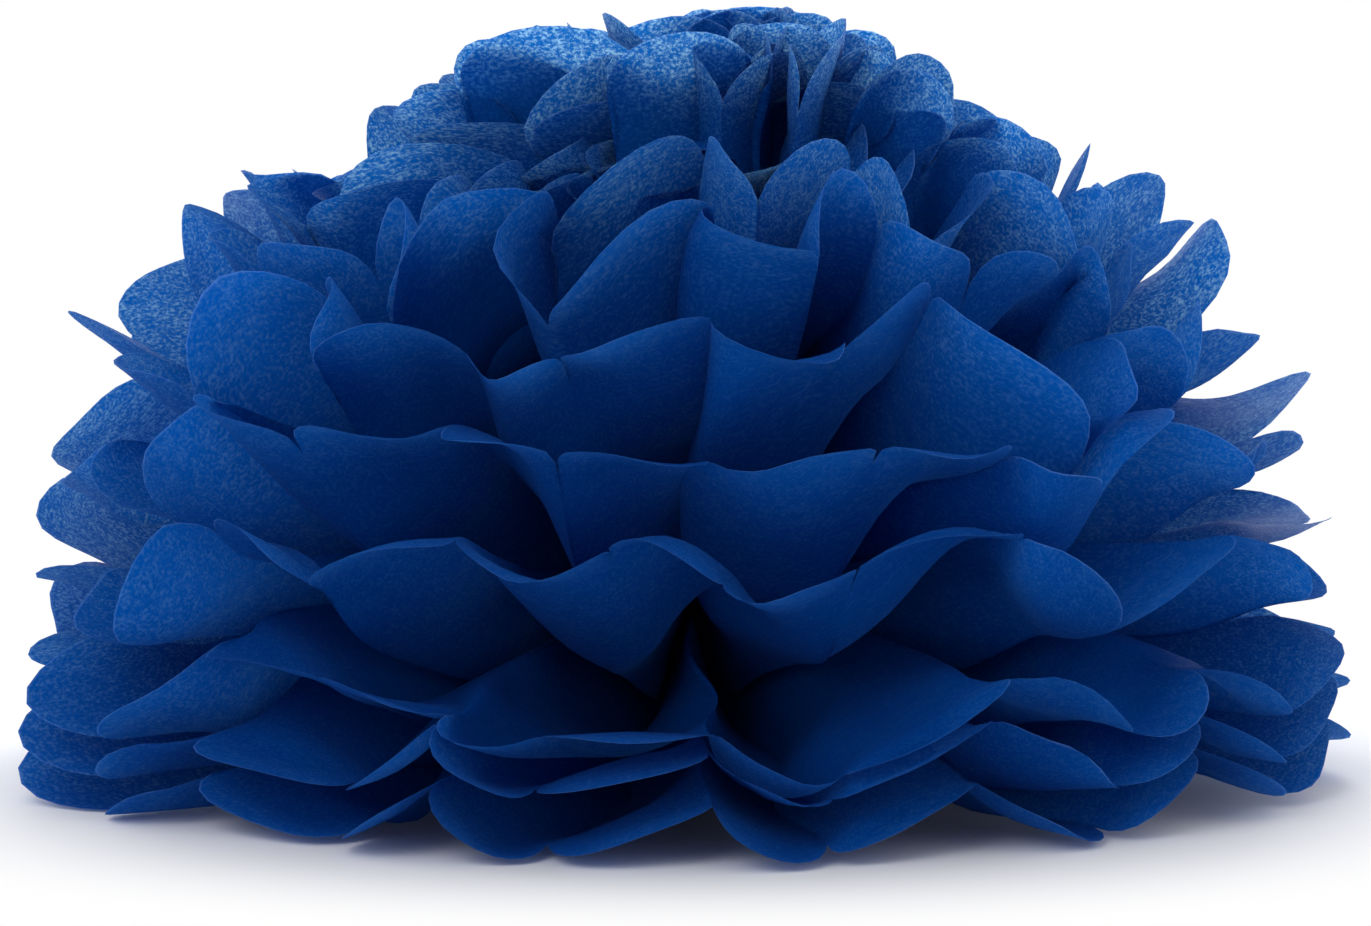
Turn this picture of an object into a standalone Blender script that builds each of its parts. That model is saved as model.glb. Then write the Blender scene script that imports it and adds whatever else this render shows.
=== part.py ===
"""A tissue paper pom pom, opened to one side and lying on its lowest petals as a dome.

Twelve equal sheets of tissue are folded together as an accordion, the ends of the stack are cut round, and
a wire is twisted round its middle. Each sheet is then pulled up away from the one below it. It passes
through the wire as a flat neck and opens in front of it and behind it as half a ring of pleats.

Metres, +Z up. The origin is the middle of the footprint, on the surface that the pom pom lies on. The front
fan of each sheet opens towards -Y and its back fan towards +Y, so the slit between them lies along X.
"""

import math

import bmesh
import bpy
from mathutils import Vector

# The flat sheets, before folding
HALF_LENGTH = 0.178  # from the tie to the top of a rounded tip, half of a sheet
TIP_DEPTH = 0.017  # how far a rounded tip reaches past the ends of its folds
PLEAT_WIDTH = 0.038  # from fold to fold
PLEATS = 14  # across a sheet
PAPER = 0.0002  # thickness

# The tie
SHEET_GAP = 0.0005  # between neighbours inside the wire
SHEET_PITCH = PAPER + SHEET_GAP
NECK_HALF_WIDTH = 0.006  # of the gathered paper inside the wire
WIRE_RADIUS = 0.0006
WIRE_CLEARANCE = 0.0004
TAIL_LENGTH = 0.016  # of the wire's twisted ends
TAIL_TURNS = 2.5
STRAND_SPREAD = 1.15  # of the two strands from the middle of the twist, in wire radii

# The opened fans, lowest sheet first
LIFT_DEGREES = (-8.2, -4.2, -0.2, 10.0, 21.0, 31.5, 42.0, 51.5, 60.0, 68.5, 76.5, 86.0)
FAN_SPREAD_DEGREES = 181.0  # from a fan's first fold to its last one
FAN_TURN_DEGREES = 1.8  # of the whole pom pom about its upright axis
SPREAD_START = 0.0015  # travel from the wire where the folds start to part
SPREAD_END = 0.010  # travel where each fold has reached its own bearing
BEND_START = 0.0022  # along the paper, where a sheet starts to bend towards its lift
BEND_END = 0.020
PLEAT_START = 0.006  # along the paper, where the pleats start to stand up from the flat neck
PLEAT_END = 0.060
PLEAT_FULLNESS = 0.84  # share of the depth that stiff flat panels would have
LEAST_RISE = 0.012  # of a ridge above the valleys beside it, in the middle of a fan
EDGE_RISE = 0.008  # more than that, towards a fan's free edges
LARGEST_RISE = 0.032
INWARD_SHARE = 0.29  # of the way back to the upright axis that a ridge may take up
EDGE_SHARE = 0.3  # of a pleat's depth that is left at a fan's two free edges
LEAN_SHARE = 0.95  # of a pleat's width, which the widest panels open to at the rim
LARGEST_LEAN = 0.016  # of a ridge to one side, which opens one panel beside it and closes the other
LEAST_LEAN_SHARE = 0.5  # of what a ridge has room for
LEAN_CHANGE = 0.3
VALLEY_LEAN_SHARE = 0.2
LEAN_DEPTH_SHARE = 0.6  # of a lean, which a pleat's depth makes up for
LEANING_TO = 52.0  # degrees of lift, where the leans start to fade
UPRIGHT_FROM = 64.0  # degrees of lift, where they have faded out
CROWDING = 0.06  # of the folds towards the middle of a fan, in radians
TWIST_DEGREES = 1.2  # of each sheet's middle folds over those of the sheet below it
TWISTED_FROM = 4  # the last sheet that the twist leaves out, counted from 0
REACH_LOSS = 0.065  # share of a steep sheet's length that its waves take up
REACH_LOSS_START = 10.0  # degrees of lift
REACH_LOSS_END = 60.0

# Hand-pulled unevenness
SWAY_DEGREES = 1.6  # of a sheet's lift, round each fan
SHORT_SWAY = 0.6  # share of the sway in shorter waves
SHORT_SWAY_TURN = 13.0  # radians of them in a fan
SHEET_PHASE = 1.1  # radians from sheet to sheet
LIFT_CHANGE_DEGREES = 2.3  # from fold to fold
SHARED_CHANGE = 0.4  # share of that change that neighbours without room make together
ROOM_START = -9.0  # degrees of lift, where a sheet lies on the surface
ROOM_END = 20.0
STEEP_ROOM = 45.0  # degrees from upright, where sheets start to be short of room
DRIFT_DEGREES = 1.8  # of a fold's bearing at the rim
TURN_DEGREES = 2.8  # of a whole fan against the ones above and below it, at the rim
RISE_CHANGE = 0.45  # share of a ridge's rise, at the rim
REACH_CHANGE = 0.6  # share of a fold's loss of reach
PULL_LENGTH = 0.20  # of the waves in which the whole stack is pulled about, neighbours together
SHORT_PULL_LENGTH = 0.146
PULL_DEPTH = 0.008
PULL_START = 0.05  # from the upright axis
PULL_END = 0.15
PULL_SLOPE = 0.5  # of the waves, which changes them from the low sheets to the high ones
SHORT_PULL_SLOPE = 0.8
AXIS_TURN = 2.1  # radians between the directions of the waves along each axis
FIRST_TURN = 0.4
SURFACE_ROOM = 0.04  # below the tie, where the surface stops the stack's vertical pull
FREE_ROOM = 0.03  # above the tie, where nothing does

# How finely the shape is drawn
ROWS = (BEND_START, 0.011, 0.034, 0.080)  # along the paper, with points on every fold
TIP_STEPS = 4  # round a rounded tip
SPINE_STEP = 0.001
CORNER_STEPS = 3  # round each corner of the wire's loop
TAIL_STEPS = 6  # in each turn of the twisted ends

FRONT, BACK = -1, 1
SHEETS = len(LIFT_DEGREES)
FOLD_END = HALF_LENGTH - TIP_DEPTH
FOLD_STEP = math.radians(FAN_SPREAD_DEGREES) / PLEATS


def smooth(value, low, high):
    """0 below low, 1 above high, and a smooth rise between them."""
    share = min(max((value - low) / (high - low), 0.0), 1.0)
    return share * share * (3.0 - 2.0 * share)


def scatter(*numbers):
    """A value from -1 to 1 that looks random and is always the same for the same numbers."""
    mixed = sum(number * (12.9898 + 65.233 * index) for index, number in enumerate(numbers))
    share = math.sin(mixed + 4.1) * 43758.5453
    return 2.0 * (share - math.floor(share)) - 1.0


def neck_height(sheet):
    """Height of a sheet inside the wire, above the middle of the bundle."""
    return (sheet - (SHEETS - 1) / 2) * SHEET_PITCH


def fold_bearing(sheet, side, fold, along):
    """Radians from straight ahead of a fan, positive towards +X. All sheets leave the tie alike."""
    opened = smooth(along, PLEAT_END / 2, HALF_LENGTH)
    free = opened * (0 < fold < PLEATS)
    drift = DRIFT_DEGREES * scatter(side, fold, 1) + TURN_DEGREES * room(sheet) * scatter(sheet, side, 2)
    drift += side * TWIST_DEGREES * max(sheet - TWISTED_FROM, 0) * math.sin(math.pi * fold / PLEATS)
    even = (fold - PLEATS / 2) * FOLD_STEP
    turned = -side * math.radians(FAN_TURN_DEGREES)
    return even - CROWDING * math.sin(2.0 * even) + turned + math.radians(drift) * free


def room(sheet):
    """Share of the unevenness that a sheet has room for: little close to the surface or to upright."""
    lift = LIFT_DEGREES[sheet]
    return smooth(lift, ROOM_START, ROOM_END) * smooth(90.0 - lift, 0.0, STEEP_ROOM)


def sheet_lift(sheet, side, fold):
    """Radians above level of a sheet's middle surface, which sways a little round the fan."""
    share = fold / PLEATS
    short_sway = SHORT_SWAY * math.sin(SHORT_SWAY_TURN * share + SHEET_PHASE * sheet + side)
    sway = math.sin(2.0 * math.pi * share + side) + short_sway
    own = room(sheet) * scatter(sheet, side, fold, 5)
    shared = SHARED_CHANGE * (1.0 - room(sheet)) * scatter(side, fold, 6)
    change = SWAY_DEGREES * sway * room(sheet) + LIFT_CHANGE_DEGREES * (own + shared)
    return math.radians(LIFT_DEGREES[sheet] + change)


def step_share(sheet, side, fold, along):
    """Share of a fold's length that is left along its line, where waves take up the rest."""
    steep = smooth(LIFT_DEGREES[sheet], REACH_LOSS_START, REACH_LOSS_END) * smooth(along, BEND_END, PLEAT_END)
    return 1.0 - REACH_LOSS * steep * (1.0 + REACH_CHANGE * scatter(side, fold, 9))


def rim_lean(sheet, side, fold):
    """How far a fold leans to one side at the rim, towards +X where positive. The free edges don't lean."""
    if fold in (0, PLEATS):
        return 0.0
    level_chord = HALF_LENGTH * math.cos(math.radians(LIFT_DEGREES[sheet])) * FOLD_STEP
    most = min(max(LEAN_SHARE * PLEAT_WIDTH - level_chord, 0.0), LARGEST_LEAN)
    most *= 1.0 - smooth(LIFT_DEGREES[sheet], LEANING_TO, UPRIGHT_FROM)
    chance = scatter(side, fold, 8)
    if fold % 2 == 0:
        return VALLEY_LEAN_SHARE * most * chance
    inwards = PLEATS / 2 - fold
    to_side = inwards if fold in (1, PLEATS - 1) else chance
    return most * math.copysign(LEAST_LEAN_SHARE + LEAN_CHANGE * abs(chance), to_side)


def pleat_offset(sheet, side, fold, along, travel):
    """How far a fold stands off the sheet's middle surface. Odd folds are ridges, which point up and inwards."""
    opened = smooth(along, PLEAT_END / 2, FOLD_END)
    chord = travel * FOLD_STEP + LEAN_DEPTH_SHARE * abs(rim_lean(sheet, side, fold)) * opened
    depth = math.sqrt(max(PLEAT_WIDTH**2 - chord**2, 0.0)) * PLEAT_FULLNESS
    least = LEAST_RISE + EDGE_RISE * (2.0 * fold / PLEATS - 1.0) ** 2
    rise = min(max(depth, least), LARGEST_RISE)
    change = RISE_CHANGE * (scatter(side, fold, 3) + room(sheet) * scatter(side, fold, sheet)) / 2.0
    rise *= (1.0 + change * opened) * smooth(along, PLEAT_START, PLEAT_END)
    inner = min(rise / 2.0, INWARD_SHARE * max(travel - neck_height(sheet), 0.0))
    if fold in (0, PLEATS):
        return -inner * EDGE_SHARE
    return inner if fold % 2 else inner - rise


def fold_point(sheet, side, fold, along):
    """A point on a fold, from the middle of the tie: along the middle of the bundle, then off from it."""
    bearing = fold_bearing(sheet, side, fold, along)
    lift = sheet_lift(sheet, side, fold)
    across = (2.0 * fold / PLEATS - 1.0) * NECK_HALF_WIDTH
    place = Vector((across, 0.0, 0.0))
    travel = 0.0
    steps = max(1, round(along / SPINE_STEP))
    for index in range(steps):
        middle = (index + 0.5) * along / steps
        step = along / steps * step_share(sheet, side, fold, middle)
        slope = lift * smooth(middle, BEND_START, BEND_END)
        level = step * math.cos(slope)
        heading = bearing * smooth(travel + level / 2, SPREAD_START, SPREAD_END)
        place += Vector((level * math.sin(heading), side * level * math.cos(heading), step * math.sin(slope)))
        travel += level
    slope = lift * smooth(along, BEND_START, BEND_END)
    heading = bearing * smooth(travel, SPREAD_START, SPREAD_END)
    inwards = Vector((-math.sin(heading), -side * math.cos(heading), 0.0))
    off = neck_height(sheet) + pleat_offset(sheet, side, fold, along, travel)
    place += off * (math.sin(slope) * inwards + math.cos(slope) * Vector((0.0, 0.0, 1.0)))
    lean = rim_lean(sheet, side, fold) * smooth(along, PLEAT_END / 2, FOLD_END)
    return place + lean * Vector((math.cos(heading), -side * math.sin(heading), 0.0))


def pulled(place):
    """The same place after the whole stack has been pulled about in waves, which keeps neighbours apart."""
    amount = PULL_DEPTH * smooth(math.hypot(place.x, place.y), PULL_START, PULL_END) / 2.0
    shift = Vector()
    for axis in range(3):
        turn = AXIS_TURN * axis + FIRST_TURN
        near = place.x * math.cos(turn) + place.y * math.sin(turn) + PULL_SLOPE * place.z
        far = place.y * math.cos(turn) - place.x * math.sin(turn) + SHORT_PULL_SLOPE * place.z
        long_wave = math.sin(2.0 * math.pi * near / PULL_LENGTH + axis)
        short_wave = math.sin(2.0 * math.pi * far / SHORT_PULL_LENGTH + 2.0 * axis)
        shift[axis] = amount * (long_wave + short_wave)
    shift.z *= smooth(place.z, -SURFACE_ROOM, FREE_ROOM)
    return place + shift


def tip_points(sheet, side, fold):
    """The points of the rounded tip between a fold and the next one."""
    found = []
    for index in range(1, TIP_STEPS):
        angle = math.pi * index / TIP_STEPS
        along = FOLD_END + TIP_DEPTH * math.sin(angle)
        near = fold_point(sheet, side, fold, along)
        far = fold_point(sheet, side, fold + 1, along)
        found.append(pulled(near.lerp(far, (1.0 - math.cos(angle)) / 2.0)))
    return found


def sheet_surface(sheet):
    """The folded sheet as an open surface: rows of points across the folds, and a fan for each tip."""
    shape = bmesh.new()
    neck = [shape.verts.new(fold_point(sheet, FRONT, fold, 0.0)) for fold in range(PLEATS + 1)]
    for side in (FRONT, BACK):
        rows = [neck]
        for along in (*ROWS, FOLD_END):
            points = [pulled(fold_point(sheet, side, fold, along)) for fold in range(PLEATS + 1)]
            rows.append([shape.verts.new(point) for point in points])
        for fold in range(PLEATS):
            for near, far in zip(rows, rows[1:]):
                corners = [near[fold], near[fold + 1], far[fold + 1], far[fold]]
                shape.faces.new(corners[::side])
            tip = [shape.verts.new(point) for point in tip_points(sheet, side, fold)]
            rim = [rows[-1][fold + 1], *reversed(tip), rows[-1][fold]]
            shape.faces.new(rim[::side])
    bmesh.ops.triangulate(shape, faces=shape.faces, quad_method="FIXED")
    return shape


def paper_material():
    """Deep blue tissue."""
    material = bpy.data.materials.new("blue_tissue")
    material.use_nodes = True
    shader = material.node_tree.nodes["Principled BSDF"]
    shader.inputs["Base Color"].default_value = (0.006, 0.052, 0.305, 1.0)
    shader.inputs["Roughness"].default_value = 0.75
    shader.inputs["Metallic"].default_value = 0.0
    return material


def wire_material():
    """Bare steel wire."""
    material = bpy.data.materials.new("steel_wire")
    material.use_nodes = True
    shader = material.node_tree.nodes["Principled BSDF"]
    shader.inputs["Base Color"].default_value = (0.42, 0.42, 0.43, 1.0)
    shader.inputs["Roughness"].default_value = 0.35
    shader.inputs["Metallic"].default_value = 1.0
    return material


def tissue_sheet(sheet, material):
    """One sheet of tissue, folded and opened, with the paper's thickness."""
    name = f"tissue_sheet_{sheet + 1:02d}"
    shape = sheet_surface(sheet)
    mesh = bpy.data.meshes.new(name)
    shape.to_mesh(mesh)
    shape.free()
    mesh.materials.append(material)
    made = bpy.data.objects.new(name, mesh)
    thickness = made.modifiers.new("Paper", "SOLIDIFY")
    thickness.thickness = PAPER
    thickness.offset = 0.0
    return made


def wire_route():
    """The wire's line: in along one twisted end, once round the neck, and out along the other end."""
    reach = WIRE_RADIUS + WIRE_CLEARANCE + PAPER / 2
    half_height = neck_height(SHEETS - 1)
    strand = STRAND_SPREAD * WIRE_RADIUS
    mouth = NECK_HALF_WIDTH + reach
    tail = []
    for index in range(1, round(TAIL_TURNS * TAIL_STEPS) + 1):
        angle = 2.0 * math.pi * index / TAIL_STEPS
        outwards = mouth + TAIL_LENGTH * index / (TAIL_TURNS * TAIL_STEPS)
        tail.append(Vector((outwards, strand * math.sin(angle), strand * math.cos(angle))))
    loop = [Vector((mouth, 0.0, strand))]
    for corner, (right, above) in enumerate(((1, 1), (-1, 1), (-1, -1), (1, -1))):
        for index in range(CORNER_STEPS + 1):
            angle = math.pi / 2 * (corner + index / CORNER_STEPS)
            across = right * NECK_HALF_WIDTH + reach * math.cos(angle)
            loop.append(Vector((across, 0.0, above * half_height + reach * math.sin(angle))))
    loop.append(Vector((mouth, 0.0, -strand)))
    return tail[::-1] + loop + [Vector((point.x, -point.y, -point.z)) for point in tail]


def wire_tie(material):
    """The wire round the neck, its two ends twisted together in the slit."""
    curve = bpy.data.curves.new("wire_tie", "CURVE")
    curve.dimensions = "3D"
    curve.bevel_depth = WIRE_RADIUS
    curve.bevel_resolution = 1
    curve.use_fill_caps = True
    curve.materials.append(material)
    route = wire_route()
    line = curve.splines.new("POLY")
    line.points.add(len(route) - 1)
    for place, point in zip(line.points, route):
        place.co = (*point, 1.0)
    return bpy.data.objects.new("wire_tie", curve)


def footing(objects):
    """The middle of the footprint of the evaluated objects, at the height of their lowest point."""
    bpy.context.view_layer.update()
    graph = bpy.context.evaluated_depsgraph_get()
    points = []
    for made in objects:
        solid = made.evaluated_get(graph)
        points += [vertex.co.copy() for vertex in solid.to_mesh().vertices]
        solid.to_mesh_clear()
    middle_x = (min(point.x for point in points) + max(point.x for point in points)) / 2
    middle_y = (min(point.y for point in points) + max(point.y for point in points)) / 2
    return Vector((middle_x, middle_y, min(point.z for point in points)))


def main():
    for old in list(bpy.data.objects):
        bpy.data.objects.remove(old)
    parts = bpy.data.collections.new("tissue_paper_pom_pom")
    bpy.context.scene.collection.children.link(parts)
    paper = paper_material()
    pieces = [tissue_sheet(sheet, paper) for sheet in range(SHEETS)]
    pieces.append(wire_tie(wire_material()))
    centre = bpy.data.objects.new("pom_pom_centre", None)
    parts.objects.link(centre)
    for piece in pieces:
        parts.objects.link(piece)
        piece.parent = centre
    centre.location = -footing(pieces)
    bpy.context.view_layer.update()


main()
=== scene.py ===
"""The looks of the tissue paper pom pom: finely drawn folded sheets of translucent tissue on a pale floor.

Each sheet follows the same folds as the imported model, and adds what thin paper does on them: deeper pleats,
cupped and curled petals, crumpling, waves and a loose, hand-pulled lie. Metres, +Z up.
"""

import math

import bpy
import numpy as np
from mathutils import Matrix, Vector

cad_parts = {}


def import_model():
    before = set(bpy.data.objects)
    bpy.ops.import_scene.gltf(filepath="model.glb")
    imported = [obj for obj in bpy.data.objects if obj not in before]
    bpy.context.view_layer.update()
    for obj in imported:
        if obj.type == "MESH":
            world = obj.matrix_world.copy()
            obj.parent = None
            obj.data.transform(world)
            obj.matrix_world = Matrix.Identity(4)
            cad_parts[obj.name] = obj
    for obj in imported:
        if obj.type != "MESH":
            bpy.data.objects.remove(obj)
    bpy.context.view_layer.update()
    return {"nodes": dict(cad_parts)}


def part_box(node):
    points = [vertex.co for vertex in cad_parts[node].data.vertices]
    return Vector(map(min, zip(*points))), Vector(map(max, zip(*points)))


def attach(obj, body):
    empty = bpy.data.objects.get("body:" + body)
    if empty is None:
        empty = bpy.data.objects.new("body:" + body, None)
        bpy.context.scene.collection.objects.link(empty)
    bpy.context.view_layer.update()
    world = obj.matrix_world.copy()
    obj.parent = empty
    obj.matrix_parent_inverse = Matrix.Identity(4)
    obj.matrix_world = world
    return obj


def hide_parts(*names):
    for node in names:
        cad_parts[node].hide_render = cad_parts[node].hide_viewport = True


# The folded sheets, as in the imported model
HALF_LENGTH = 0.178
TIP_DEPTH = 0.017
PLEAT_WIDTH = 0.038
PLEATS = 14
PAPER = 0.0002
SHEET_PITCH = 0.0007
NECK_HALF_WIDTH = 0.006
WIRE_RADIUS = 0.0006
WIRE_CLEARANCE = 0.0004
LIFT_DEGREES = (-8.2, -4.2, -0.2, 10.0, 21.0, 31.5, 42.0, 51.5, 60.0, 68.5, 76.5, 86.0)
FAN_SPREAD_DEGREES = 181.0
FAN_TURN_DEGREES = 1.8
SPREAD_START = 0.0015
SPREAD_END = 0.010
BEND_START = 0.0022
BEND_END = 0.020
LEAST_RISE = 0.012
EDGE_RISE = 0.008
EDGE_SHARE = 0.3
CROWDING = 0.06
TWIST_DEGREES = 1.2
TWISTED_FROM = 4
REACH_LOSS = 0.065
REACH_LOSS_START = 10.0
REACH_LOSS_END = 60.0
LEAN_SHARE = 0.95
LEAST_LEAN_SHARE = 0.5
LEAN_CHANGE = 0.3
VALLEY_LEAN_SHARE = 0.2
SWAY_DEGREES = 1.6
SHORT_SWAY = 0.6
SHORT_SWAY_TURN = 13.0
SHEET_PHASE = 1.1
LIFT_CHANGE_DEGREES = 2.3
SHARED_CHANGE = 0.4
ROOM_START = -9.0
ROOM_END = 20.0
STEEP_ROOM = 45.0
DRIFT_DEGREES = 1.8
TURN_DEGREES = 2.8
RISE_CHANGE = 0.45
REACH_CHANGE = 0.6
PULL_LENGTH = 0.20
SHORT_PULL_LENGTH = 0.146
PULL_DEPTH = 0.008
PULL_START = 0.05
PULL_END = 0.15
PULL_SLOPE = 0.5
SHORT_PULL_SLOPE = 0.8
AXIS_TURN = 2.1
FIRST_TURN = 0.4
SURFACE_ROOM = 0.04
FREE_ROOM = 0.03
SPINE_STEP = 0.001

# The pleats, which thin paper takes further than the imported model.
# If nothing else is said, a START or END is metres along the paper, or a sheet's lift in degrees.
PLEAT_START = 0.004
PLEAT_END = 0.050
PLEAT_FULLNESS = 0.88
LARGEST_RISE = 0.036
INWARD_SHARE = 0.32
LARGEST_LEAN = 0.026
STEEP_LEAN_SHARE = 0.3  # more, in the sheets that stand up
STEEP_LEAN_START = 40.0
STEEP_LEAN_END = 70.0
LEAN_DEPTH_SHARE = 0.9
EDGE_LEAN = 0.0035  # of a fan's two edges, into the slit between the fans
RUFFLE_LENGTH = 0.085  # of a second, shorter pull
SHORT_RUFFLE_LENGTH = 0.062
RUFFLE_DEPTH = 0.006
PETAL_SKEW = 0.88  # power that moves the tip of a petal towards its lower fold

# How the sheets that stand up lose reach, and crumple
TALL_SHARE = 0.85  # of the loss of reach, which the innermost sheets are spared
TALL_START = 68.5
TALL_END = 80.0
SLUMP = 0.15  # share of its length that a steep petal loses at most by crumpling
SLUMP_LIFT_START = 35.0
SLUMP_LIFT_END = 60.0
SLUMP_START = 0.05  # along the paper
BACK_SLUMP_SHARE = 0.25
SLUMP_WAVE = 0.045  # depth of its waves for each whole share
HIDDEN_SLUMPS = {8: 0.15, 9: 0.17, 11: 0.05}  # in the middle of front fans that stand behind others
HIDDEN_START = 0.35  # share of the way from the middle of a fan to its edge
HIDDEN_END = 0.85

# What thin paper adds
CREASE_ROUNDING = 0.10  # share of a full wave that a crease has relaxed to, at the rim
ROUNDING_START = 0.03
ROUNDING_END = 0.13
WAVE_LENGTH = 0.062  # along the paper
WAVE_DEPTH = 0.0022
WAVE_START = 0.03
WAVE_END = 0.08
WAVE_LIFT_START = 10.0
WAVE_LIFT_END = 60.0
WAVE_CHANGE = 0.9  # of its phase at most, in radians, from fold to fold
WAVE_PHASE = 0.5  # from sheet to sheet
CUP_DEPTH = 0.006  # of a petal, between its two folds
CUP_START = 0.05
CUP_END = 0.16
CURL_DEPTH = 0.010  # of the end of a petal
CURL_START = 0.08
CURL_END = HALF_LENGTH + 0.02
CURL_LIFT_START = -9.0
CURL_LIFT_END = 9.0
EDGE_CURL_SHARE = 0.3
STEEP_CURL_SHARE = 0.4
STEEP_CURL_START = 50.0
STEEP_CURL_END = 65.0
CROWDED_SHARE = 0.35  # of its cup and curl, in a sheet with no room to its neighbours
SHIFT_START = 0.05
SHALLOW_ARC = 3.0 / 8.0  # the sag of a shallow arc, squared, over its chord times its spare length
LARGEST_SAG = 0.013  # of a panel that has closed, whose paper bulges
SAG_SHARE = 0.85  # of the sag that would use all of its width
SAG_START = 0.03
SAG_END = 0.12
CRUMPLES = ((0.055, 0.0022), (0.024, 0.0010), (0.011, 0.00035))  # size and depth
CRUMPLE_START = 0.02
CRUMPLE_END = 0.09
CLOUD_CELLS = 64
CLOUD_START = (31.7, 17.3)  # in cells
LOWEST = 0.0004  # above the floor
FLOOR_SOFTNESS = 0.0015
FREE_HEIGHT = 30.0  # in softnesses, from where the floor is not felt

# Painted backlight: a paler through colour, standing in for the light that comes through paper which no other
# paper lies close behind
BACKLIGHT_BACK_SHARE = 0.6  # at the back, seen against the light
BACKLIGHT_SIDE_SHARE = 0.35  # at the two sides of the front
BACKLIGHT_SIDE_START = 0.6  # share of the way from the middle to the side
BACKLIGHT_SIDE_END = 0.98
BACKLIGHT_LIFT_START = 36.0
BACKLIGHT_LIFT_END = 78.0
BACKLIGHT_START = 0.07
BACKLIGHT_END = 0.16

# The colours, as red, green and blue
SURFACE_TINTS = ((0.0003, 0.052, 0.258), (0.0006, 0.062, 0.292))  # of thick and of thin places
CUT_EDGE_TINT = (0.07, 0.18, 0.52)
THROUGH_TINTS = ((0.0006, 0.110, 0.49), (0.0030, 0.150, 0.53))  # of covered paper, and of paper with the most painted backlight
SPECK_TINT = (0.40, 0.76, 1.0)
SHEEN_TINT = (0.50, 0.56, 1.0)
WIRE_TINTS = ((0.33, 0.33, 0.34), (0.52, 0.52, 0.53))
FLOOR_TINT = (0.92, 0.92, 0.935)
SKY_TINT = (0.97, 0.98, 1.0)
WHITE = (1.0, 1.0, 1.0)

# The paper's own pattern
FIBRE_LAYER = 0.37  # between the fibres of one sheet and the next
RIM_SHARE = 0.999  # of the way along, from where the cut edge is pale
FLOC_SHARE = 0.72  # of the finest clusters of fibres, the rest being clumps
THIN_START = 0.45  # of the pattern, from where the paper is thinner
THIN_END = 0.60
SPECK_POWER = 1.35
# share of the specks' paleness kept where there is no painted backlight
SPECKS_WITHOUT_BACKLIGHT = 0.15
THROUGH_SHARE = 0.38  # of light that passes through the paper

# The floor, which fades to white
FLOOR_SIZE = 8.0
FADE_START = 0.172  # from the middle of the floor
FADE_END = 0.26

# How far up the largest petals at the front were pulled, by sheet from 0, and by fold from FIRST_SHIFTED
FIRST_SHIFTED = 3
FRONT_SHIFTS = {
    2: (0.008, 0.012, -0.010, -0.002, -0.008, -0.011, -0.006, 0.002),
    3: (0.004, 0.006, 0.005, 0.010, -0.012, 0.005, 0.003, 0.004),
    4: (0.0, 0.0, 0.0, 0.010, 0.0, -0.008, -0.009, -0.004),
    5: (0.0, 0.0, 0.0, 0.007, -0.005, 0.004, 0.004, 0.0),
}

# How finely the shape is drawn
PANEL_STEPS = 12
ROW_SHARES = (*np.linspace(0.0, 0.94, 32)[1:], 0.962, 0.978, 0.989, 0.9965, 1.0)

# The photograph's view
IMAGE_WIDTH = 1371
FOCAL_PIXELS = 4900
CAMERA_DISTANCE = 1.3
CAMERA_ELEVATION_DEGREES = 4.5
AIM_HEIGHT = 0.0815
SENSOR_WIDTH = 36.0

FRONT, BACK = -1, 1
SHEETS = len(LIFT_DEGREES)
FOLD_END = HALF_LENGTH - TIP_DEPTH
FOLD_STEP = math.radians(FAN_SPREAD_DEGREES) / PLEATS


def smooth(value, low, high):
    share = np.clip((value - low) / (high - low), 0.0, 1.0)
    return share * share * (3.0 - 2.0 * share)


def scatter(*numbers):
    """A value from -1 to 1 that looks random and is always the same for the same numbers.

    A plain number at the end of a call keeps that use apart from the others.
    """
    mixed = sum(number * (12.9898 + 65.233 * index) for index, number in enumerate(numbers))
    share = math.sin(mixed + 4.1) * 43758.5453
    return 2.0 * (share - math.floor(share)) - 1.0


def neck_height(sheet):
    return (sheet - (SHEETS - 1) / 2) * SHEET_PITCH


def room(sheet):
    lift = LIFT_DEGREES[sheet]
    return smooth(lift, ROOM_START, ROOM_END) * smooth(90.0 - lift, 0.0, STEEP_ROOM)


def sheet_lift(sheet, side, fold):
    share = fold / PLEATS
    short_sway = SHORT_SWAY * math.sin(SHORT_SWAY_TURN * share + SHEET_PHASE * sheet + side)
    sway = math.sin(2.0 * math.pi * share + side) + short_sway
    own = room(sheet) * scatter(sheet, side, fold, 5)
    shared = SHARED_CHANGE * (1.0 - room(sheet)) * scatter(side, fold, 6)
    change = SWAY_DEGREES * sway * room(sheet) + LIFT_CHANGE_DEGREES * (own + shared)
    return math.radians(LIFT_DEGREES[sheet] + change)


def rim_lean(sheet, side, fold):
    """How far a fold leans to one side at the rim, so that some panels open wide and others close."""
    if fold in (0, PLEATS):
        return math.copysign(EDGE_LEAN, fold - PLEATS / 2)
    level_chord = HALF_LENGTH * math.cos(math.radians(LIFT_DEGREES[sheet])) * FOLD_STEP
    most = min(max(LEAN_SHARE * PLEAT_WIDTH - level_chord, 0.0), LARGEST_LEAN)
    chance = scatter(side, fold, 8)
    if fold % 2 == 0:
        return VALLEY_LEAN_SHARE * most * chance
    inwards = PLEATS / 2 - fold
    to_side = inwards if fold in (1, PLEATS - 1) else chance
    steep = STEEP_LEAN_SHARE * smooth(LIFT_DEGREES[sheet], STEEP_LEAN_START, STEEP_LEAN_END)
    share = LEAST_LEAN_SHARE + steep + LEAN_CHANGE * (1.0 - steep) * abs(chance)
    return most * math.copysign(share, to_side)


def front_shift(sheet, side, fold):
    """How far up a fold end at the front was pulled by hand, from where its neighbours would have it."""
    if side == BACK or sheet not in FRONT_SHIFTS:
        return 0.0
    place = fold - FIRST_SHIFTED
    return FRONT_SHIFTS[sheet][place] if 0 <= place < len(FRONT_SHIFTS[sheet]) else 0.0


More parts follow.
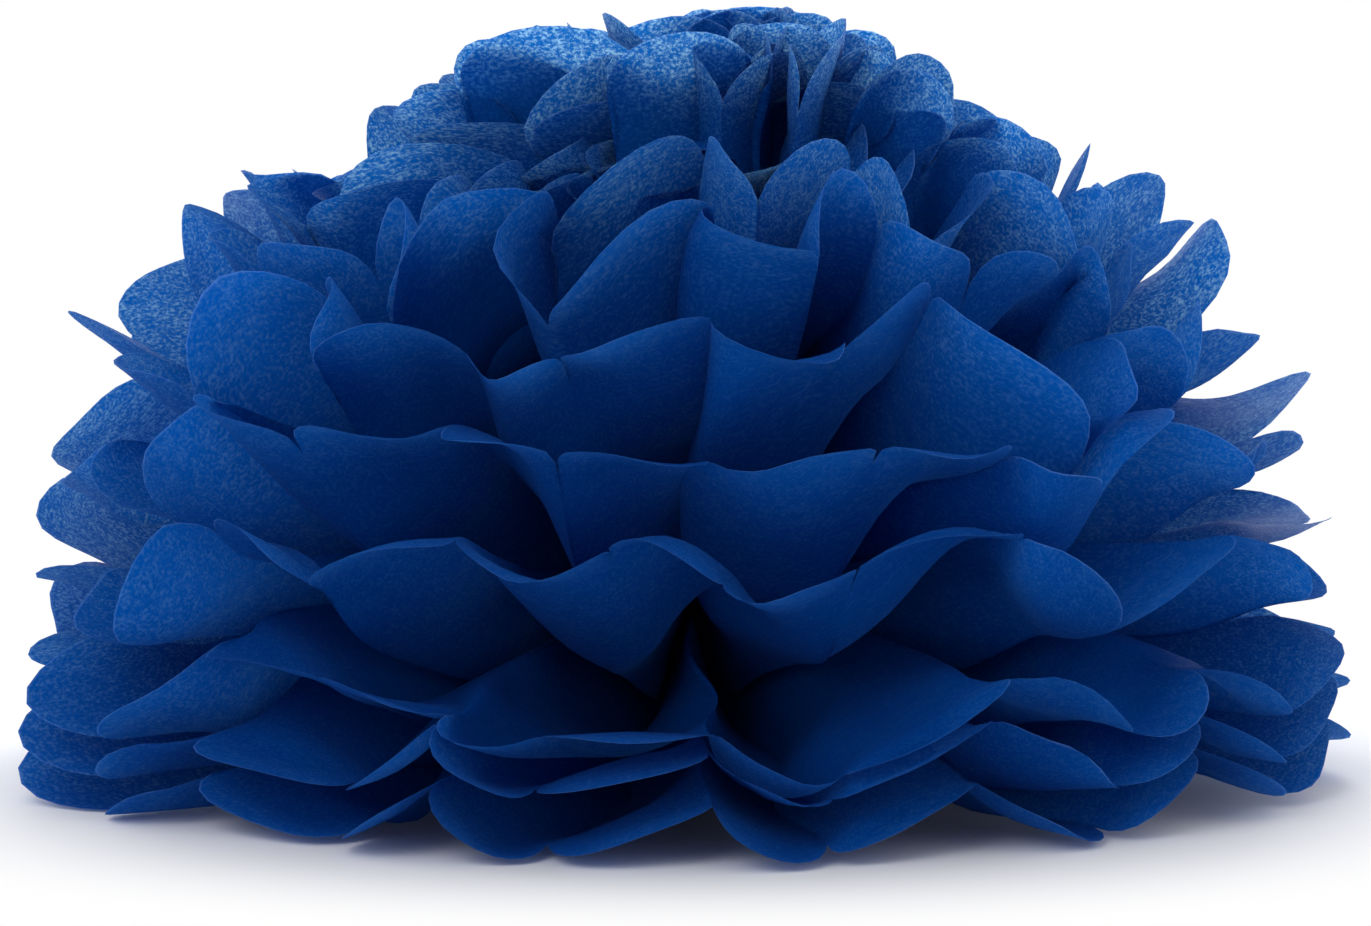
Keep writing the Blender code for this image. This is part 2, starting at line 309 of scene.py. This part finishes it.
def slump(sheet, side, fold):
    """Share of its length that a fold of a steep sheet loses by crumpling.

    Two folds beside each other lose the same, so that whole petals crumple. The middles of some front
    fans lose more, because the fans before them hide them in the photograph.
    """
    chance = max(scatter(sheet, side, (fold + sheet) // 2, 15), 0.0)
    middle = 1.0 - smooth(abs(2.0 * fold / PLEATS - 1.0), HIDDEN_START, HIDDEN_END)
    hidden = HIDDEN_SLUMPS.get(sheet, 0.0) * middle if side == FRONT else 0.0
    most = SLUMP if side == FRONT else SLUMP * BACK_SLUMP_SHARE
    return max(most * chance * smooth(LIFT_DEGREES[sheet], SLUMP_LIFT_START, SLUMP_LIFT_END), hidden)


def fold_line(sheet, side, fold):
    """Points every millimetre along a fold, from the middle of the tie, with the normal and offset there."""
    lift = sheet_lift(sheet, side, fold)
    count = round(HALF_LENGTH / SPINE_STEP)
    along = np.arange(count + 1) * SPINE_STEP
    middles = along[:-1] + SPINE_STEP / 2
    slope = lift * smooth(middles, BEND_START, BEND_END)
    steep = smooth(LIFT_DEGREES[sheet], REACH_LOSS_START, REACH_LOSS_END)
    steep = steep * smooth(middles, BEND_END, PLEAT_END)
    loss = REACH_LOSS * steep * (1.0 + REACH_CHANGE * scatter(side, fold, 9))
    lasting = 1.0 - TALL_SHARE * smooth(LIFT_DEGREES[sheet], TALL_START, TALL_END)
    # Doubled, because smooth() is one half on average
    crumpled = 2.0 * slump(sheet, side, fold) * smooth(middles, SLUMP_START, HALF_LENGTH)
    step = SPINE_STEP * (1.0 - loss * lasting - crumpled)
    level = step * np.cos(slope)
    travel = np.concatenate(([0.0], np.cumsum(level)))
    drift = DRIFT_DEGREES * scatter(side, fold, 1) + TURN_DEGREES * room(sheet) * scatter(sheet, side, 2)
    drift += side * TWIST_DEGREES * max(sheet - TWISTED_FROM, 0) * math.sin(math.pi * fold / PLEATS)
    even = (fold - PLEATS / 2) * FOLD_STEP
    start = even - CROWDING * math.sin(2.0 * even) - side * math.radians(FAN_TURN_DEGREES)
    turned = math.radians(drift) * smooth(along, PLEAT_END / 2, HALF_LENGTH) * (0 < fold < PLEATS)
    spread = start * smooth(travel[:-1] + level / 2, SPREAD_START, SPREAD_END)
    steps = np.stack((level * np.sin(spread), side * level * np.cos(spread), step * np.sin(slope)), axis=-1)
    places = np.vstack((np.zeros(3), np.cumsum(steps, axis=0)))
    places[:, 0] += (2.0 * fold / PLEATS - 1.0) * NECK_HALF_WIDTH
    x, y = places[:, 0].copy(), places[:, 1].copy()
    places[:, 0] = x * np.cos(turned) + side * y * np.sin(turned)
    places[:, 1] = y * np.cos(turned) - side * x * np.sin(turned)
    full_slope = lift * smooth(along, BEND_START, BEND_END)
    heading = (start + turned) * smooth(travel, SPREAD_START, SPREAD_END)
    inwards = -np.sin(full_slope)
    normal = (inwards * np.sin(heading), inwards * side * np.cos(heading), np.cos(full_slope))
    normal = np.stack(normal, axis=-1)
    lean = rim_lean(sheet, side, fold) * smooth(along, PLEAT_END / 2, FOLD_END)
    places[:, 0] += lean * np.cos(heading)
    places[:, 1] -= lean * side * np.sin(heading)
    return places, normal, neck_height(sheet) + pleat_offset(sheet, side, fold, along, travel)


def pleat_offset(sheet, side, fold, along, travel):
    opened = smooth(along, PLEAT_END / 2, FOLD_END)
    chord = travel * FOLD_STEP + LEAN_DEPTH_SHARE * abs(rim_lean(sheet, side, fold)) * opened
    depth = np.sqrt(np.maximum(PLEAT_WIDTH**2 - chord**2, 0.0)) * PLEAT_FULLNESS
    least = LEAST_RISE + EDGE_RISE * (2.0 * fold / PLEATS - 1.0) ** 2
    rise = np.minimum(np.maximum(depth, least), LARGEST_RISE)
    change = RISE_CHANGE * (scatter(side, fold, 3) + room(sheet) * scatter(side, fold, sheet)) / 2.0
    rise = rise * (1.0 + change * opened) * smooth(along, PLEAT_START, PLEAT_END)
    inner = np.minimum(rise / 2.0, INWARD_SHARE * np.maximum(travel - neck_height(sheet), 0.0))
    if fold in (0, PLEATS):
        return -inner * EDGE_SHARE
    return inner if fold % 2 else inner - rise


def cloud(u, v, size, seed):
    """Smooth noise from -1 to 1 over a flat sheet, with bumps of about that size."""
    table = np.random.default_rng(seed).uniform(-1.0, 1.0, (CLOUD_CELLS, CLOUD_CELLS))
    x, y = u / size + CLOUD_START[0], v / size + CLOUD_START[1]
    column, row = np.floor(x).astype(int), np.floor(y).astype(int)
    across, up = x - column, y - row
    across, up = across * across * (3 - 2 * across), up * up * (3 - 2 * up)
    left, right = column % CLOUD_CELLS, (column + 1) % CLOUD_CELLS
    below, over = row % CLOUD_CELLS, (row + 1) % CLOUD_CELLS
    near = table[left, below] * (1 - across) + table[right, below] * across
    far = table[left, over] * (1 - across) + table[right, over] * across
    return near * (1 - up) + far * up


def unit(vectors):
    return vectors / np.maximum(np.linalg.norm(vectors, axis=-1, keepdims=True), 1e-12)


def freedom(sheet):
    """Share of its cup and curl that the room to its neighbours leaves a sheet."""
    return CROWDED_SHARE + (1.0 - CROWDED_SHARE) * room(sheet)


def petal_reach(rows, folds, shares):
    """How far along the paper each point of the grid lies, with the ends of the paper cut round."""
    skewed = np.where(folds % 2 == 0, shares**PETAL_SKEW, 1.0 - (1.0 - shares) ** PETAL_SKEW)
    tips = TIP_DEPTH * np.sqrt(np.clip(1.0 - (2.0 * skewed - 1.0) ** 2, 0.0, 1.0))
    return np.abs(rows)[:, None] * (FOLD_END + tips)[None, :]


def fan(sheet, side, reach, folds, shares):
    """A fan's points at each reach, and how far apart the two folds beside each point are."""
    lines = [fold_line(sheet, side, fold) for fold in range(PLEATS + 1)]
    places, outs, offs = (np.array([line[kind] for line in lines]) for kind in range(3))
    offs = offs[..., None]
    index = np.minimum((reach / SPINE_STEP).astype(int), round(HALF_LENGTH / SPINE_STEP) - 1)
    part = (reach / SPINE_STEP - index)[..., None]

    def sample(values, fold):
        return values[fold, index] * (1.0 - part) + values[fold, index + 1] * part

    def between(value_at, share):
        values = np.array([value_at(fold) for fold in range(PLEATS + 1)])
        return values[folds] * (1.0 - share) + values[folds + 1] * share

    def curl_at(fold):
        return CURL_DEPTH * scatter(sheet, side, fold, 11) * (1.0 if 0 < fold < PLEATS else EDGE_CURL_SHARE)

    lift = LIFT_DEGREES[sheet]
    share = shares[None, :, None]
    rounding = CREASE_ROUNDING * smooth(reach, ROUNDING_START, ROUNDING_END)[..., None]
    eased = share - rounding * np.sin(2.0 * np.pi * share) / (2.0 * np.pi)
    left, right = folds[None, :], folds[None, :] + 1
    normal = unit(sample(outs, left) * (1.0 - share) + sample(outs, right) * share)
    off = sample(offs, left) * (1.0 - eased) + sample(offs, right) * eased
    place = sample(places, left) * (1.0 - share) + sample(places, right) * share
    steep_curl = 1.0 - (1.0 - STEEP_CURL_SHARE) * smooth(lift, STEEP_CURL_START, STEEP_CURL_END)
    curl = between(lambda fold: curl_at(fold) * steep_curl, eased[..., 0])
    curl = curl * smooth(reach, CURL_START, CURL_END) * freedom(sheet)
    curl = curl * smooth(lift, CURL_LIFT_START, CURL_LIFT_END)
    shift = between(lambda fold: front_shift(sheet, side, fold), eased[..., 0])
    shift = shift * smooth(reach, SHIFT_START, FOLD_END)
    phase = between(lambda fold: WAVE_CHANGE * scatter(side, fold, 13) + WAVE_PHASE * sheet, shares)
    wave = np.sin(2.0 * np.pi * reach / WAVE_LENGTH + phase) * smooth(reach, WAVE_START, WAVE_END)
    slumped = between(lambda fold: slump(sheet, side, fold), shares)
    wave = wave * (WAVE_DEPTH * smooth(lift, WAVE_LIFT_START, WAVE_LIFT_END) + SLUMP_WAVE * slumped)
    near_edge = sample(places, left) + sample(offs, left) * sample(outs, left)
    far_edge = sample(places, right) + sample(offs, right) * sample(outs, right)
    chords = np.linalg.norm(far_edge - near_edge, axis=-1)
    return place + (off + (curl + wave + shift)[..., None]) * normal, chords


def swelling(sheet, rows, folds, shares, along, chords):
    """How far each point stands out between its folds, from its petal's cup and its panel's bulge."""

    def each_panel(value_of):
        values = np.array([[value_of(side, fold) for fold in range(PLEATS)] for side in (FRONT, BACK)])
        return values[(rows >= 0).astype(int)[:, None], folds[None, :]]

    cup = each_panel(lambda side, fold: CUP_DEPTH * scatter(sheet, side, fold, 12))
    cup = cup * 4.0 * shares * (1.0 - shares)
    cup = cup * smooth(along, CUP_START, CUP_END) * freedom(sheet)
    spare = np.maximum(PLEAT_WIDTH - chords, 0.0)
    sag = np.minimum(SAG_SHARE * np.sqrt(SHALLOW_ARC * chords * spare), LARGEST_SAG)
    sag = sag * smooth(along, SAG_START, SAG_END)
    way = each_panel(lambda side, fold: math.copysign(1.0, scatter(side, fold, 14)))
    return cup + way * sag * 4.0 * shares * (1.0 - shares)


def sheet_grid(sheet):
    """A sheet's points as rows across the folds, from the front tips to the back tips, with flat places."""
    shares = (1.0 - np.cos(np.pi * np.arange(PANEL_STEPS) / PANEL_STEPS)) / 2.0
    folds = np.append(np.repeat(np.arange(PLEATS), PANEL_STEPS), PLEATS - 1)
    shares = np.append(np.tile(shares, PLEATS), 1.0)
    rows = np.array([-share for share in ROW_SHARES[::-1]] + [0.0] + list(ROW_SHARES))
    along = petal_reach(rows, folds, shares)
    points = np.empty((len(rows), len(folds), 3))
    chords = np.empty((len(rows), len(folds)))
    for side in (FRONT, BACK):
        chosen = rows < 0 if side == FRONT else rows >= 0
        points[chosen], chords[chosen] = fan(sheet, side, along[chosen], folds, shares)
    faced = unit(np.cross(np.gradient(points, axis=1), np.gradient(points, axis=0)))
    flat_u = np.broadcast_to((folds + shares - PLEATS / 2) * PLEAT_WIDTH, along.shape)
    flat_v = np.sign(rows)[:, None] * along
    bumps = sum(
        depth * cloud(flat_u, flat_v, size, 100 * sheet + order)
        for order, (size, depth) in enumerate(CRUMPLES)
    )
    bumps = bumps * smooth(along, CRUMPLE_START, CRUMPLE_END)
    swell = swelling(sheet, rows, folds, shares, along, chords)
    return points + faced * (swell + bumps)[..., None], flat_u, flat_v, along, rows


def painted_backlight_share(sheet, along, rows):
    """How much painted backlight, standing in for the light behind, each place takes in its through colour:
    all of it where no other paper lies close behind.
    """
    across = np.abs(np.linspace(-1.0, 1.0, along.shape[1]))[None, :]
    beside = BACKLIGHT_SIDE_SHARE * smooth(across, BACKLIGHT_SIDE_START, BACKLIGHT_SIDE_END)
    steep = smooth(LIFT_DEGREES[sheet], BACKLIGHT_LIFT_START, BACKLIGHT_LIFT_END)
    share = np.where(rows[:, None] > 0, np.maximum(BACKLIGHT_BACK_SHARE, steep), np.maximum(beside, steep))
    return share * smooth(along, BACKLIGHT_START, BACKLIGHT_END)


def pulled(points, length, short_length, depth):
    """The same places after the whole stack was pulled about in waves, which keeps neighbours apart."""
    x, y, z = points.T
    amount = depth * smooth(np.hypot(x, y), PULL_START, PULL_END) / 2.0
    shift = []
    for axis in range(3):
        turn = AXIS_TURN * axis + FIRST_TURN
        near = x * math.cos(turn) + y * math.sin(turn) + PULL_SLOPE * z
        far = y * math.cos(turn) - x * math.sin(turn) + SHORT_PULL_SLOPE * z
        long_wave = np.sin(2.0 * math.pi * near / length + axis)
        short_wave = np.sin(2.0 * math.pi * far / short_length + 2.0 * axis)
        shift.append(amount * (long_wave + short_wave))
    shift[2] = shift[2] * smooth(z, -SURFACE_ROOM, FREE_ROOM)
    return points + np.stack(shift, axis=-1)


def settled(points):
    """The same places with whatever would reach the floor laid on it instead."""
    height = (points[:, 2] - LOWEST) / FLOOR_SOFTNESS
    laid = np.log1p(np.exp(np.minimum(height, FREE_HEIGHT)))
    points[:, 2] = LOWEST + FLOOR_SOFTNESS * np.where(height > FREE_HEIGHT, height, laid)
    return points


def add_values(mesh, name, kind, values):
    key = "vector" if kind == "FLOAT_VECTOR" else "value"
    mesh.attributes.new(name, kind, "POINT").data.foreach_set(key, values.astype(np.float32).ravel())


def paper_piece(sheet, tie, material):
    grid, flat_u, flat_v, along, rows = sheet_grid(sheet)
    count_rows, count_columns = grid.shape[:2]
    points = pulled(grid.reshape(-1, 3), PULL_LENGTH, SHORT_PULL_LENGTH, PULL_DEPTH)
    points = pulled(points, RUFFLE_LENGTH, SHORT_RUFFLE_LENGTH, RUFFLE_DEPTH) + np.array(tie)
    points = settled(points)
    corner = np.arange(count_rows * count_columns).reshape(count_rows, count_columns)
    around = (corner[:-1, :-1], corner[:-1, 1:], corner[1:, 1:], corner[1:, :-1])
    quads = np.stack(around, axis=-1).reshape(-1, 4)
    name = f"sheet_{sheet + 1:02d}_paper"
    mesh = bpy.data.meshes.new(name)
    mesh.from_pydata(points.tolist(), [], quads.tolist())
    mesh.polygons.foreach_set("use_smooth", [True] * len(mesh.polygons))
    layer = np.full(flat_u.shape, FIBRE_LAYER * sheet)
    add_values(mesh, "flat", "FLOAT_VECTOR", np.stack((flat_u, flat_v, layer), axis=-1))
    # The share of painted backlight, which makes the through colour paler at the back, at the front's sides
    # and in steep sheets
    add_values(mesh, "painted_backlight", "FLOAT", painted_backlight_share(sheet, along, rows))
    add_values(mesh, "cut_edge", "FLOAT", np.repeat(np.abs(rows) > RIM_SHARE, count_columns))
    mesh.materials.append(material)
    mesh.validate()
    piece = bpy.data.objects.new(name, mesh)
    bpy.context.scene.collection.objects.link(piece)
    return piece


def tie_middle():
    """The middle of the tie, from the wire's own box."""
    low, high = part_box("wire_tie")
    reach = WIRE_RADIUS + WIRE_CLEARANCE + PAPER / 2
    return Vector((low.x + NECK_HALF_WIDTH + reach + WIRE_RADIUS, (low.y + high.y) / 2, (low.z + high.z) / 2))


def node(tree, kind, **values):
    made = tree.nodes.new(kind)
    for key, value in values.items():
        if key in made.inputs:
            made.inputs[key].default_value = value
        else:
            setattr(made, key, value)
    return made


def new_material(name):
    material = bpy.data.materials.new(name)
    material.use_nodes = True
    return material, material.node_tree


def noise(tree, place, **values):
    made = node(tree, "ShaderNodeTexNoise", **values)
    tree.links.new(place, made.inputs["Vector"])
    return made.outputs["Fac"]


def worked(tree, operation, *values):
    """The result of a sum on values that are numbers or sockets."""
    made = node(tree, "ShaderNodeMath", operation=operation)
    for place, value in enumerate(values):
        if isinstance(value, float):
            made.inputs[place].default_value = value
        else:
            tree.links.new(value, made.inputs[place])
    return made.outputs[0]


def ranged(tree, value, start=0.0, end=1.0, low=0.0, high=1.0, kind="LINEAR"):
    """A value that goes from low to high while another goes from start to end."""
    made = node(tree, "ShaderNodeMapRange", interpolation_type=kind)
    tree.links.new(value, made.inputs["Value"])
    for key, number in (("From Min", start), ("From Max", end), ("To Min", low), ("To Max", high)):
        made.inputs[key].default_value = number
    return made.outputs["Result"]


def tinted(tree, factor, first, second):
    """A colour between two that are tuples or sockets."""
    made = node(tree, "ShaderNodeMix", data_type="RGBA")
    tree.links.new(factor, made.inputs["Factor"])
    for key, colour in (("A", first), ("B", second)):
        if isinstance(colour, tuple):
            made.inputs[key].default_value = (*colour, 1.0)
        else:
            tree.links.new(colour, made.inputs[key])
    return made.outputs["Result"]


def shown(tree, share, first, second, output):
    """Ends a tree with one shader, of which another takes a share."""
    blend = node(tree, "ShaderNodeMixShader")
    if isinstance(share, float):
        blend.inputs[0].default_value = share
    else:
        tree.links.new(share, blend.inputs[0])
    tree.links.new(first.outputs[0], blend.inputs[1])
    tree.links.new(second.outputs[0], blend.inputs[2])
    tree.links.new(blend.outputs[0], node(tree, output).inputs["Surface"])


def tissue_material():
    """Blue tissue that lets light through unevenly, clouded with fibres and pale along its cut edges, with
    painted backlight: a paler through colour and brighter specks where no other paper lies close behind.
    """
    material, tree = new_material("blue_tissue_paper")
    tree.nodes.clear()
    flat = node(tree, "ShaderNodeAttribute", attribute_name="flat").outputs["Vector"]
    edge = node(tree, "ShaderNodeAttribute", attribute_name="cut_edge").outputs["Fac"]
    painted_backlight = node(tree, "ShaderNodeAttribute", attribute_name="painted_backlight").outputs["Fac"]
    flocs = noise(tree, flat, Scale=1100.0, Detail=4.0, Roughness=0.68)
    clumps = noise(tree, flat, Scale=330.0, Detail=3.0, Roughness=0.6)
    fibres = noise(tree, flat, Scale=1500.0, Detail=2.0, Roughness=0.6, Distortion=2.5)
    clumped = worked(tree, "MULTIPLY", clumps, 1.0 - FLOC_SHARE)
    pattern = worked(tree, "MULTIPLY_ADD", flocs, FLOC_SHARE, clumped)
    thin = ranged(tree, pattern, start=THIN_START, end=THIN_END)
    surface = tinted(tree, edge, tinted(tree, thin, *SURFACE_TINTS), CUT_EDGE_TINT)
    specks = worked(tree, "POWER", thin, SPECK_POWER)
    # Painted backlight: brighter specks and a paler through colour where no other paper lies close behind
    backlit_specks = worked(tree, "MULTIPLY", specks, ranged(tree, painted_backlight, low=SPECKS_WITHOUT_BACKLIGHT))
    light_through = tinted(tree, backlit_specks, tinted(tree, painted_backlight, *THROUGH_TINTS), SPECK_TINT)
    bump = node(tree, "ShaderNodeBump", Strength=0.22, Distance=0.0003)
    tree.links.new(fibres, bump.inputs["Height"])
    front = node(tree, "ShaderNodeBsdfPrincipled", Roughness=0.62)
    front.inputs["Specular IOR Level"].default_value = 0.02
    front.inputs["Sheen Weight"].default_value = 0.015
    front.inputs["Sheen Roughness"].default_value = 0.45
    front.inputs["Sheen Tint"].default_value = (*SHEEN_TINT, 1.0)
    tree.links.new(surface, front.inputs["Base Color"])
    tree.links.new(bump.outputs["Normal"], front.inputs["Normal"])
    through = node(tree, "ShaderNodeBsdfTranslucent")
    tree.links.new(light_through, through.inputs["Color"])
    shown(tree, THROUGH_SHARE, front, through, "ShaderNodeOutputMaterial")
    return material


def wire_material():
    """Drawn steel wire, with fine marks on it."""
    material, tree = new_material("drawn_steel_wire")
    shader = tree.nodes["Principled BSDF"]
    place = node(tree, "ShaderNodeTexCoord").outputs["Object"]
    marks = noise(tree, place, Scale=2600.0, Detail=3.0)
    tree.links.new(tinted(tree, marks, *WIRE_TINTS), shader.inputs["Base Color"])
    shader.inputs["Metallic"].default_value = 1.0
    shader.inputs["Roughness"].default_value = 0.35
    return material


def floor_material():
    """Pale floor that fades to plain white away from the object, for the camera alone."""
    material, tree = new_material("pale_floor")
    tree.nodes.clear()
    place = node(tree, "ShaderNodeTexCoord")
    distance = node(tree, "ShaderNodeVectorMath", operation="LENGTH")
    tree.links.new(place.outputs["Object"], distance.inputs[0])
    far = ranged(tree, distance.outputs["Value"], start=FADE_START, end=FADE_END, kind="SMOOTHSTEP")
    seen = node(tree, "ShaderNodeLightPath").outputs["Is Camera Ray"]
    matt = node(tree, "ShaderNodeBsdfDiffuse", Color=(*FLOOR_TINT, 1.0))
    white = node(tree, "ShaderNodeEmission", Color=(*WHITE, 1.0), Strength=1.0)
    shown(tree, worked(tree, "MULTIPLY", far, seen), matt, white, "ShaderNodeOutputMaterial")
    return material


def floor():
    bpy.ops.mesh.primitive_plane_add(size=FLOOR_SIZE)
    made = bpy.context.object
    made.name = "floor"
    made.data.materials.append(floor_material())


def world_light():
    """A white surround to the camera, and soft light to everything else, brightest low down behind."""
    world = bpy.data.worlds.new("studio")
    bpy.context.scene.world = world
    world.use_nodes = True
    tree = world.node_tree
    tree.nodes.clear()
    parts = node(tree, "ShaderNodeSeparateXYZ")
    tree.links.new(node(tree, "ShaderNodeTexCoord").outputs["Generated"], parts.inputs[0])
    backward, upward = parts.outputs["Y"], parts.outputs["Z"]
    behind = ranged(tree, backward, start=-0.1, end=0.8, low=0.0, high=5.5, kind="SMOOTHSTEP")
    low_down = ranged(tree, upward, start=0.05, end=0.5, low=1.0, high=0.1, kind="SMOOTHSTEP")
    around = ranged(tree, upward, start=0.1, end=0.8, low=1.02, high=0.58, kind="SMOOTHSTEP")
    soft = node(tree, "ShaderNodeBackground", Color=(*SKY_TINT, 1.0))
    tree.links.new(worked(tree, "MULTIPLY_ADD", behind, low_down, around), soft.inputs["Strength"])
    white = node(tree, "ShaderNodeBackground", Color=(*WHITE, 1.0), Strength=1.0)
    seen = node(tree, "ShaderNodeLightPath").outputs["Is Camera Ray"]
    shown(tree, seen, soft, white, "ShaderNodeOutputWorld")


def area_light(name, place, aim, size, power):
    lamp = bpy.data.lights.new(name, "AREA")
    lamp.size = size
    lamp.energy = power
    made = bpy.data.objects.new(name, lamp)
    bpy.context.scene.collection.objects.link(made)
    made.location = place
    made.rotation_euler = (Vector(aim) - Vector(place)).to_track_quat("-Z", "Y").to_euler()


def camera():
    lens = bpy.data.cameras.new("photo_view")
    made = bpy.data.objects.new("photo_view", lens)
    bpy.context.scene.collection.objects.link(made)
    elevation = math.radians(CAMERA_ELEVATION_DEGREES)
    made.location = (
        0.0,
        -CAMERA_DISTANCE * math.cos(elevation),
        AIM_HEIGHT + CAMERA_DISTANCE * math.sin(elevation),
    )
    made.rotation_euler = (math.pi / 2 - elevation, 0.0, 0.0)
    lens.sensor_width = SENSOR_WIDTH
    lens.lens = SENSOR_WIDTH * FOCAL_PIXELS / IMAGE_WIDTH
    bpy.context.scene.camera = made


def main():
    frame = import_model()
    bpy.context.scene.view_settings.view_transform = "Standard"
    camera()
    tie = tie_middle()
    paper = tissue_material()
    for sheet in range(SHEETS):
        piece = paper_piece(sheet, tie, paper)
        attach(piece, "root")
        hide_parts(f"tissue_sheet_{sheet + 1:02d}")
    wire = frame["nodes"]["wire_tie"]
    wire.data.materials.clear()
    wire.data.materials.append(wire_material())
    floor()
    world_light()
    area_light("key", place=(-0.5, -1.1, 0.75), aim=(0.0, 0.0, 0.08), size=0.7, power=5.0)
    area_light("back", place=(0.1, 1.1, 0.75), aim=(0.0, 0.0, 0.12), size=0.9, power=9.0)


main()
